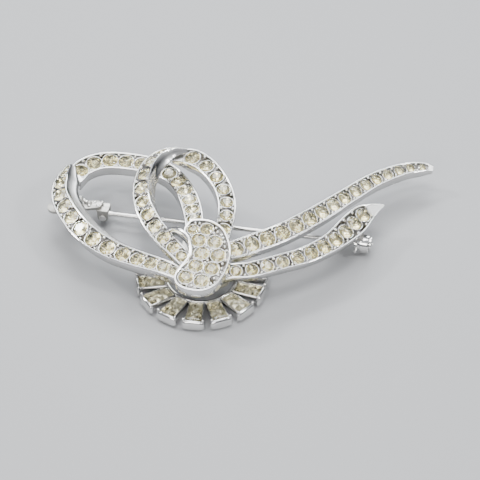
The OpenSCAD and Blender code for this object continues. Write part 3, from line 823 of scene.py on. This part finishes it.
# Beads stand in the pavement's gaps, the roomiest gaps first
grid_step, least_room, widest_bead, bead_overlap, bead_gap = 0.2, 0.2, 0.32, 0.04, 0.12
gaps = []
for i in range(-22, 24):
    for j in range(-34, 44):
        spot = Vector((i, j)) * grid_step
        away, nearest = min(((spot - p).length, k) for k, p in enumerate(edge_points))
        if (spot - edge_points[nearest]).dot(facing[nearest]) < 0:
            from_stones = min(
                (spot - Vector((x, y))).length - knot_stone_r * share for x, y, share in knot_stones)
            gaps.append((min(away - knot_rim, from_stones), spot))
spare = []
room, spot = max(gaps, key=lambda gap: gap[0])
while room > least_room:
    size = min(widest_bead, room + bead_overlap)
    spare.append(knot_seat(spot.x, spot.y, size))
    gaps = [(min(left, (other - spot).length - size - bead_gap), other) for left, other in gaps]
    room, spot = max(gaps, key=lambda gap: gap[0])
set_metal("beads_knot", spare, bead_tree, {"Height": 1.2})

# --- Scroll beside the knot ---
# A plain strip on edge that curls off the knot's left side and leaves a drop-shaped hole behind it.
# It is polished all over.

scroll_path = [
    [-10.9, -8.9, 11.0, 0.6, 0],
    [-9.7, -8.9, 11.7, 0.65, 0],
    [-8.5, -9.5, 12.2, 0.7, 0],
    [-7.4, -10.4, 12.4, 0.7, 0],
    [-6.4, -11.5, 12.3, 0.7, 0],
    [-5.6, -13.0, 12.0, 0.7, 0],
    [-5.3, -14.6, 11.6, 0.7, 0],
    [-5.7, -15.8, 11.1, 0.7, 0],
    [-6.6, -17.3, 10.5, 0.6, 0],
]
bm = bmesh.new()
shelter = bm.verts.layers.float.new("shelter")
strip = [(0.5, -0.16), (0.4, -0.05), (0.22, 0), (-0.22, 0), (-0.4, -0.05), (-0.5, -0.16),
         (-0.5, -1.8), (-0.35, -1.9), (0.35, -1.9), (0.5, -1.8)]
rings = []
for i in range((len(scroll_path) - 1) * 8 + 1):
    k = i / 8
    across, _, up = band_axes(scroll_path, k)
    across *= station(scroll_path, k)[3]
    rim = rim_point(scroll_path, k)
    rings.append([(rim + across * a + up * z, 0.0 if z > -0.3 else 0.3) for a, z in strip])
add_sweep(bm, rings, shelter)
put_on(finished(bm, "scroll_strip"), bright_metal, replaced=["knot_scroll"])

# --- Ring of the fan ---
# A hoop of flat wire on edge. Its top edge is polished bright, and the settings are soldered round its
# outside.

fan_at = Vector((-4.1, -11.0, 1.95))
ring_r = 6.8
bm = bmesh.new()
profile = [(0, -1.7), (0, 0.05), (-0.05, 0.13), (-0.13, 0.15), (-0.32, 0.15), (-0.4, 0.13), (-0.45, 0.05),
           (-0.45, -1.7), (-0.37, -1.8), (-0.08, -1.8)]
rows = []
for i in range(96):
    outward = Vector((math.cos(math.tau * i / 96), math.sin(math.tau * i / 96), 0))
    ring = [fan_at + outward * (ring_r + r) + Vector((0, 0, z)) for r, z in profile]
    rows.append([bm.verts.new(p * MM) for p in ring])
skin(bm, rows + rows[:1])
put_on(finished(bm, "fan_hoop"), bright_metal, replaced=["fan_ring"])

# --- Baguette settings ---
# Nine open boxes of thin sheet, tapered to fit side by side round the ring. A thick polished plate
# closes the outer end of each, and a claw with a round tip stands at either corner.

fan_tree, f_in, f_out = new_tree("Fan", [
    ("Shape", "NodeSocketObject"), ("Count", "NodeSocketInt"), ("Pitch", "NodeSocketFloat"),
    ("Middle", "NodeSocketFloat"), ("Radius", "NodeSocketFloat"), ("Centre", "NodeSocketVector"),
    ("Wobble", "NodeSocketFloat"), ("Main", "NodeSocketMaterial"), ("Back", "NodeSocketMaterial")])
fan_shape = node(fan_tree, "GeometryNodeObjectInfo", {"Object": f_in["Shape"]}).outputs["Geometry"]
fan_points = node(fan_tree, "GeometryNodeMeshLine", {"Count": f_in["Count"]}).outputs[0]
number = node(fan_tree, "GeometryNodeInputIndex").outputs[0]
off_middle = maths(fan_tree, "SUBTRACT", number, maths(fan_tree, "MULTIPLY_ADD", f_in["Count"], 0.5, -0.5))
heading = maths(fan_tree, "MULTIPLY_ADD", off_middle, f_in["Pitch"], f_in["Middle"])
outward = xyz(fan_tree, maths(fan_tree, "COSINE", heading), maths(fan_tree, "SINE", heading))
reach = node(fan_tree, "ShaderNodeVectorMath", {0: outward, 3: f_in["Radius"]}, operation="SCALE").outputs[0]
foot = node(fan_tree, "ShaderNodeVectorMath", {0: reach, 1: f_in["Centre"]}, operation="ADD").outputs[0]
stood = node(fan_tree, "GeometryNodeSetPosition", {"Geometry": fan_points, "Position": foot}).outputs[0]
turned = node(fan_tree, "FunctionNodeEulerToRotation", {0: xyz(fan_tree, 0.0, 0.0, heading)}).outputs[0]
stand = {"Points": stood, "Instance": fan_shape, "Rotation": turned}
spread = node(fan_tree, "GeometryNodeInstanceOnPoints", stand).outputs[0]
spread = leaned(fan_tree, spread, f_in["Wobble"], 0.0, 3)
whole = node(fan_tree, "GeometryNodeRealizeInstances", {"Geometry": spread}).outputs[0]
finish_tree(fan_tree, whole, f_in["Main"], f_out, f_in["Back"])


def fanned(name, shape, wobble, main, back):
    """Nine copies of a shape side by side round the ring, each off its line by up to wobble degrees."""
    start = seats(name, [{"at": Vector(), "up": Vector(), "across": Vector(), "r": 0}])
    grown(start, fan_tree, {
        "Shape": shape, "Count": 9, "Pitch": math.radians(24.75), "Middle": math.radians(-87),
        "Radius": (ring_r - 0.05) * MM, "Centre": fan_at * MM, "Wobble": math.radians(wobble), "Main": main,
        "Back": back})
    bpy.data.objects.remove(shape)
    return start


half_in, half_out, box_l = 1.33, 1.7, 5.3
rise = Matrix.Rotation(math.radians(-5), 3, "Y")


def loop_skin(bm, loops, closed_ends=True):
    """Skin between closed loops of points in millimetres, capped at both ends or joined end to end."""
    rows = [[bm.verts.new(Vector(p) * MM) for p in loop] for loop in loops]
    skin(bm, rows if closed_ends else rows + rows[:1])
    if closed_ends:
        bm.faces.new(reversed(rows[0]))
        bm.faces.new(rows[-1])


def tapered(inner, outer, z, near, far):
    """Corners of a box's outline at height z, drawn in at its two ends and sides."""
    y0, y1 = half_in - inner, half_out - outer
    corners = (near, -y0), (box_l - far, -y1), (box_l - far, y1), (near, y0)
    return [rise @ Vector((x, y, z)) for x, y in corners]


bm = bmesh.new()
loop_skin(bm, [tapered(0, 0, -1.7, 0, 0), tapered(0, 0, -0.05, 0, 0), tapered(0.05, 0.05, 0, 0.05, 0.05),
               tapered(0.1, 0.15, 0, 0.1, 0.15), tapered(0.14, 0.2, -0.05, 0.14, 0.2),
               tapered(0.14, 0.2, -1.7, 0.14, 0.2)], closed_ends=False)
# End plate: a cushion-shaped lozenge with a soft edge
plate_w, plate_h = 4.2, 2.4
lozenge = []
for i in range(32):
    a = math.tau * i / 32
    c, s = math.cos(a), math.sin(a)
    lozenge.append((math.copysign(abs(c) ** 0.62, c), math.copysign(abs(s) ** 0.62, s)))
layers = [(0.0, 0.2), (0.06, 0.08), (0.16, 0.0), (0.3, 0.02), (0.43, 0.1), (0.54, 0.24), (0.62, 0.44),
          (0.68, 0.72), (0.7, 1.0)]
plate_x, plate_z = box_l - 0.25, plate_h / 2 - fan_at.z
loop_skin(bm, [[(plate_x + x, u * (plate_w / 2 - inset), v * (plate_h / 2 - inset) + plate_z)
                for u, v in lozenge] for x, inset in layers])
for side in (-1, 1):
    middle = Vector((box_l - 0.1, side * (half_out + 0.1), 0))
    turns = [(math.cos(math.tau * i / 12), math.sin(math.tau * i / 12)) for i in range(12)]
    claw = [(0.22, -1.2), (0.22, 0.6), (0.25, 0.7), (0.24, 0.78), (0.18, 0.88), (0.08, 0.93)]
    loop_skin(bm, [[middle + Vector((u * r, v * r, z)) for u, v in turns] for r, z in claw])
setting_shape = finished(bm, "Baguette setting", 55)
settings = fanned("fan_settings", setting_shape, 0.0, bright_metal, bright_metal)
put_on(settings, None, replaced=[f"baguette_setting_{i}" for i in range(1, 10)])

# --- Baguettes ---
# Long stones of the same champagne glass, wider at their outer end, stepped above and cut in small
# slanting facets below, where they are foiled. Each one lies a shade differently in its box.

bm = bmesh.new()
foiled = bm.faces.layers.float.new("foiled")
cells_along, cells_across = 6, 4
end_gap, side_gap, stone_drop = 0.3, 0.21, 0.2


def on_baguette(i, j, inset, z):
    """A point of the baguette's outline or inside it, by its place in a grid drawn in by inset."""
    x0, x1 = end_gap, box_l - end_gap
    x = x0 + inset + (x1 - x0 - 2 * inset) * i / cells_along
    half = half_in - side_gap + (half_out - half_in - 0.06) * (x - x0) / (x1 - x0) - inset
    return rise @ Vector((x, half * (2 * j / cells_across - 1), z - stone_drop))


rim_cells = [(i, 0) for i in range(cells_along)] + [(cells_along, j) for j in range(cells_across)]
rim_cells += [(cells_along - i, cells_across - j) for i, j in rim_cells]
crown = [(0, -0.1), (0, 0.02), (0.17, 0.2), (0.42, 0.32)]
rows = [[bm.verts.new(on_baguette(i, j, inset, z) * MM) for i, j in rim_cells] for inset, z in crown]
skin(bm, rows)
bm.faces.new(rows[-1])
# The pavilion is cut in small slanting facets, deep and shallow by turns
depths = (-0.42, -0.66)
grid = dict(zip(rim_cells, rows[0]))
for i in range(1, cells_along):
    for j in range(1, cells_across):
        grid[i, j] = bm.verts.new(on_baguette(i, j, 0, depths[(i + j) % 2]) * MM)
for i in range(cells_along):
    for j in range(cells_across):
        corners = [grid[i, j], grid[i, j + 1], grid[i + 1, j + 1], grid[i + 1, j]]
        turn = (i + j) % 2
        for picked in ((0, 1, 2), (0, 2, 3)):
            bm.faces.new([corners[(k + turn) % 4] for k in picked])[foiled] = 1.0
bmesh.ops.recalc_face_normals(bm, faces=bm.faces)
baguette_mesh = bpy.data.meshes.new("Baguette")
bm.to_mesh(baguette_mesh)
bm.free()
baguette_cut = bpy.data.objects.new("Baguette", baguette_mesh)
baguette_glass = cut_glass("Champagne glass, baguettes", (1.0, 0.985, 0.91))
baguette_foil = foil("Foil behind the baguettes", haze=0.15, crinkle_mm=0.03, aged=(0.97, 0.91, 0.66))
baguettes = fanned("fan_baguettes", baguette_cut, 1.6, baguette_glass, baguette_foil)
bpy.data.objects.remove(brilliant_cut)
put_on(baguettes, None, replaced=[f"baguette_{i}" for i in range(1, 10)])

# --- Hinge ---
# A long sheet plate soldered under the big loop, a folded bracket on it and a rivet through the
# bracket's ears and the stem's barrel. The solder has run and set in small bright drops.


def applied(obj):
    """Makes the result of an object's modifiers its plain mesh."""
    mesh = bpy.data.meshes.new_from_object(obj.evaluated_get(bpy.context.evaluated_depsgraph_get()))
    obj.modifiers.clear()
    obj.data = mesh
    mesh.shade_smooth()
    return mesh


def rounded_solid(name, new_name, width, metal, body="brooch"):
    """A copy of a solid of the frame with its sharp edges rounded off, in its place."""
    bm = bmesh.new()
    bm.from_mesh(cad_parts[name].data)
    bmesh.ops.remove_doubles(bm, verts=bm.verts, dist=1e-7)
    bmesh.ops.dissolve_limit(bm, angle_limit=math.radians(1), verts=bm.verts, edges=bm.edges)
    obj = finished(bm, new_name)
    bevel = obj.modifiers.new("Rounded edges", "BEVEL")
    bevel.limit_method, bevel.angle_limit = "ANGLE", math.radians(40)
    bevel.width, bevel.segments = width * MM, 2
    applied(obj).set_sharp_from_angle(angle=math.radians(55))
    put_on(obj, metal, body, replaced=[name])


def solder(name, drops, grain=0.13):
    """Drops of solder, given as x, y, z and radius, run together into one smooth lump."""
    bm = bmesh.new()
    for x, y, z, r in drops:
        at = Matrix.Translation(Vector((x, y, z)) * MM)
        bmesh.ops.create_icosphere(bm, subdivisions=3, radius=r * MM, matrix=at)
    obj = finished(bm, name)
    remesh = obj.modifiers.new("Run together", "REMESH")
    remesh.mode, remesh.voxel_size, remesh.use_smooth_shade = "VOXEL", grain * MM, True
    smooth = obj.modifiers.new("Set", "SMOOTH")
    smooth.factor, smooth.iterations = 0.5, 5
    applied(obj)
    put_on(obj, bright_metal)


rounded_solid("hinge_base", "hinge_plate", 0.12, sheet_metal)
rounded_solid("hinge_bracket", "hinge_ears", 0.14, sheet_metal)
solder("hinge_solder", [
    (-31.6, 3.5, 4.9, 0.65), (-31.0, 2.6, 4.7, 0.6), (-30.2, 2.0, 4.5, 0.55), (-29.2, 2.5, 4.5, 0.5),
    (-28.5, 1.7, 4.4, 0.45), (-27.6, 2.8, 4.4, 0.42), (-26.9, 2.0, 4.4, 0.4), (-26.2, 3.2, 4.3, 0.35),
    (-30.6, 3.6, 4.5, 0.5), (-29.9, 3.1, 4.4, 0.5),
])
steel = plated("Drawn nickel wire", (0.78, 0.77, 0.75), 0.12, 0.22, 0.4, grain=0.8)
rounded_solid("hinge_rivet", "rivet", 0.08, steel)

# --- Pin stem ---
# Drawn nickel-plated wire, bent from its barrel at the hinge, drawn down to a point beyond the catch.

finish_solid("pin_stem", steel)

# --- Catch ---
# A C of thick metal on a plate under the short tail, with a turned roller inside it. Two finger tabs
# turn the roller's slot away from the stem and lock it.

rounded_solid("catch_base", "catch_plate", 0.15, sheet_metal)
rounded_solid("catch_housing", "catch_c", 0.16, bright_metal)
rounded_solid("catch_roller", "roller_with_tabs", 0.08, bright_metal, "roller")

# --- Floor, lights and camera ---
# A plain pale table, three large soft lights and two small lamps over it, and a camera above the front
# of the brooch.

bm = bmesh.new()
bmesh.ops.create_grid(bm, x_segments=1, y_segments=1, size=3.0)
floor = finished(bm, "floor")
paper = bpy.data.materials.new("Pale table")
paper.use_nodes = True
matt = paper.node_tree.nodes["Principled BSDF"].inputs
matt["Base Color"].default_value = (0.3, 0.305, 0.315, 1)
matt["Roughness"].default_value = 0.55
floor.data.materials.append(paper)


def softbox(name, at, wide, high, watts, colour=(1, 1, 1)):
    light = bpy.data.lights.new(name, "AREA")
    light.shape, light.size, light.size_y, light.energy, light.color = "RECTANGLE", wide, high, watts, colour
    lamp = bpy.data.objects.new(name, light)
    lamp.location = at
    lamp.rotation_euler = (Vector(at) - Vector((0, 0, 0.005))).to_track_quat("Z", "Y").to_euler()
    bpy.context.scene.collection.objects.link(lamp)


softbox("window", (-0.05, 0.36, 0.33), 0.42, 0.2, 3.0, (0.95, 0.98, 1.0))
softbox("overhead", (-0.02, 0.03, 0.42), 0.26, 0.26, 2.0)
softbox("front fill", (-0.06, -0.4, 0.26), 0.4, 0.14, 1.6, (1.0, 0.98, 0.95))
softbox("lamp left", (-0.3, 0.1, 0.3), 0.05, 0.05, 1.0)
softbox("lamp right", (0.3, -0.05, 0.3), 0.05, 0.05, 1.0)

# A dim room: dark walls, and a pale ceiling that the stones look up at
world = bpy.data.worlds.new("Dim room")
bpy.context.scene.world = world
world.use_nodes = True
sky = world.node_tree
direction = node(sky, "ShaderNodeTexCoord").outputs["Generated"]
height = node(sky, "ShaderNodeSeparateXYZ", {0: direction}).outputs["Z"]
ceiling = ramp(sky, height, (0.1, (0.03, 0.032, 0.035)), (0.5, (0.5, 0.515, 0.54)))
sky.links.new(ceiling, sky.nodes["Background"].inputs["Color"])

aim = Vector((2.0, -3.9, 6.0)) * MM
around, above, camera_distance = math.radians(9.5), math.radians(44), 0.3
back = Vector((math.sin(around) * math.cos(above), -math.cos(around) * math.cos(above), math.sin(above)))
lens = bpy.data.cameras.new("camera")
lens.sensor_width, lens.lens, lens.shift_y = 36.0, 119.9, -0.0042
lens.clip_start = 0.01
camera = bpy.data.objects.new("camera", lens)
camera.location = aim + back * camera_distance
camera.rotation_euler = back.to_track_quat("Z", "Y").to_euler()
bpy.context.scene.collection.objects.link(camera)
bpy.context.scene.camera = camera
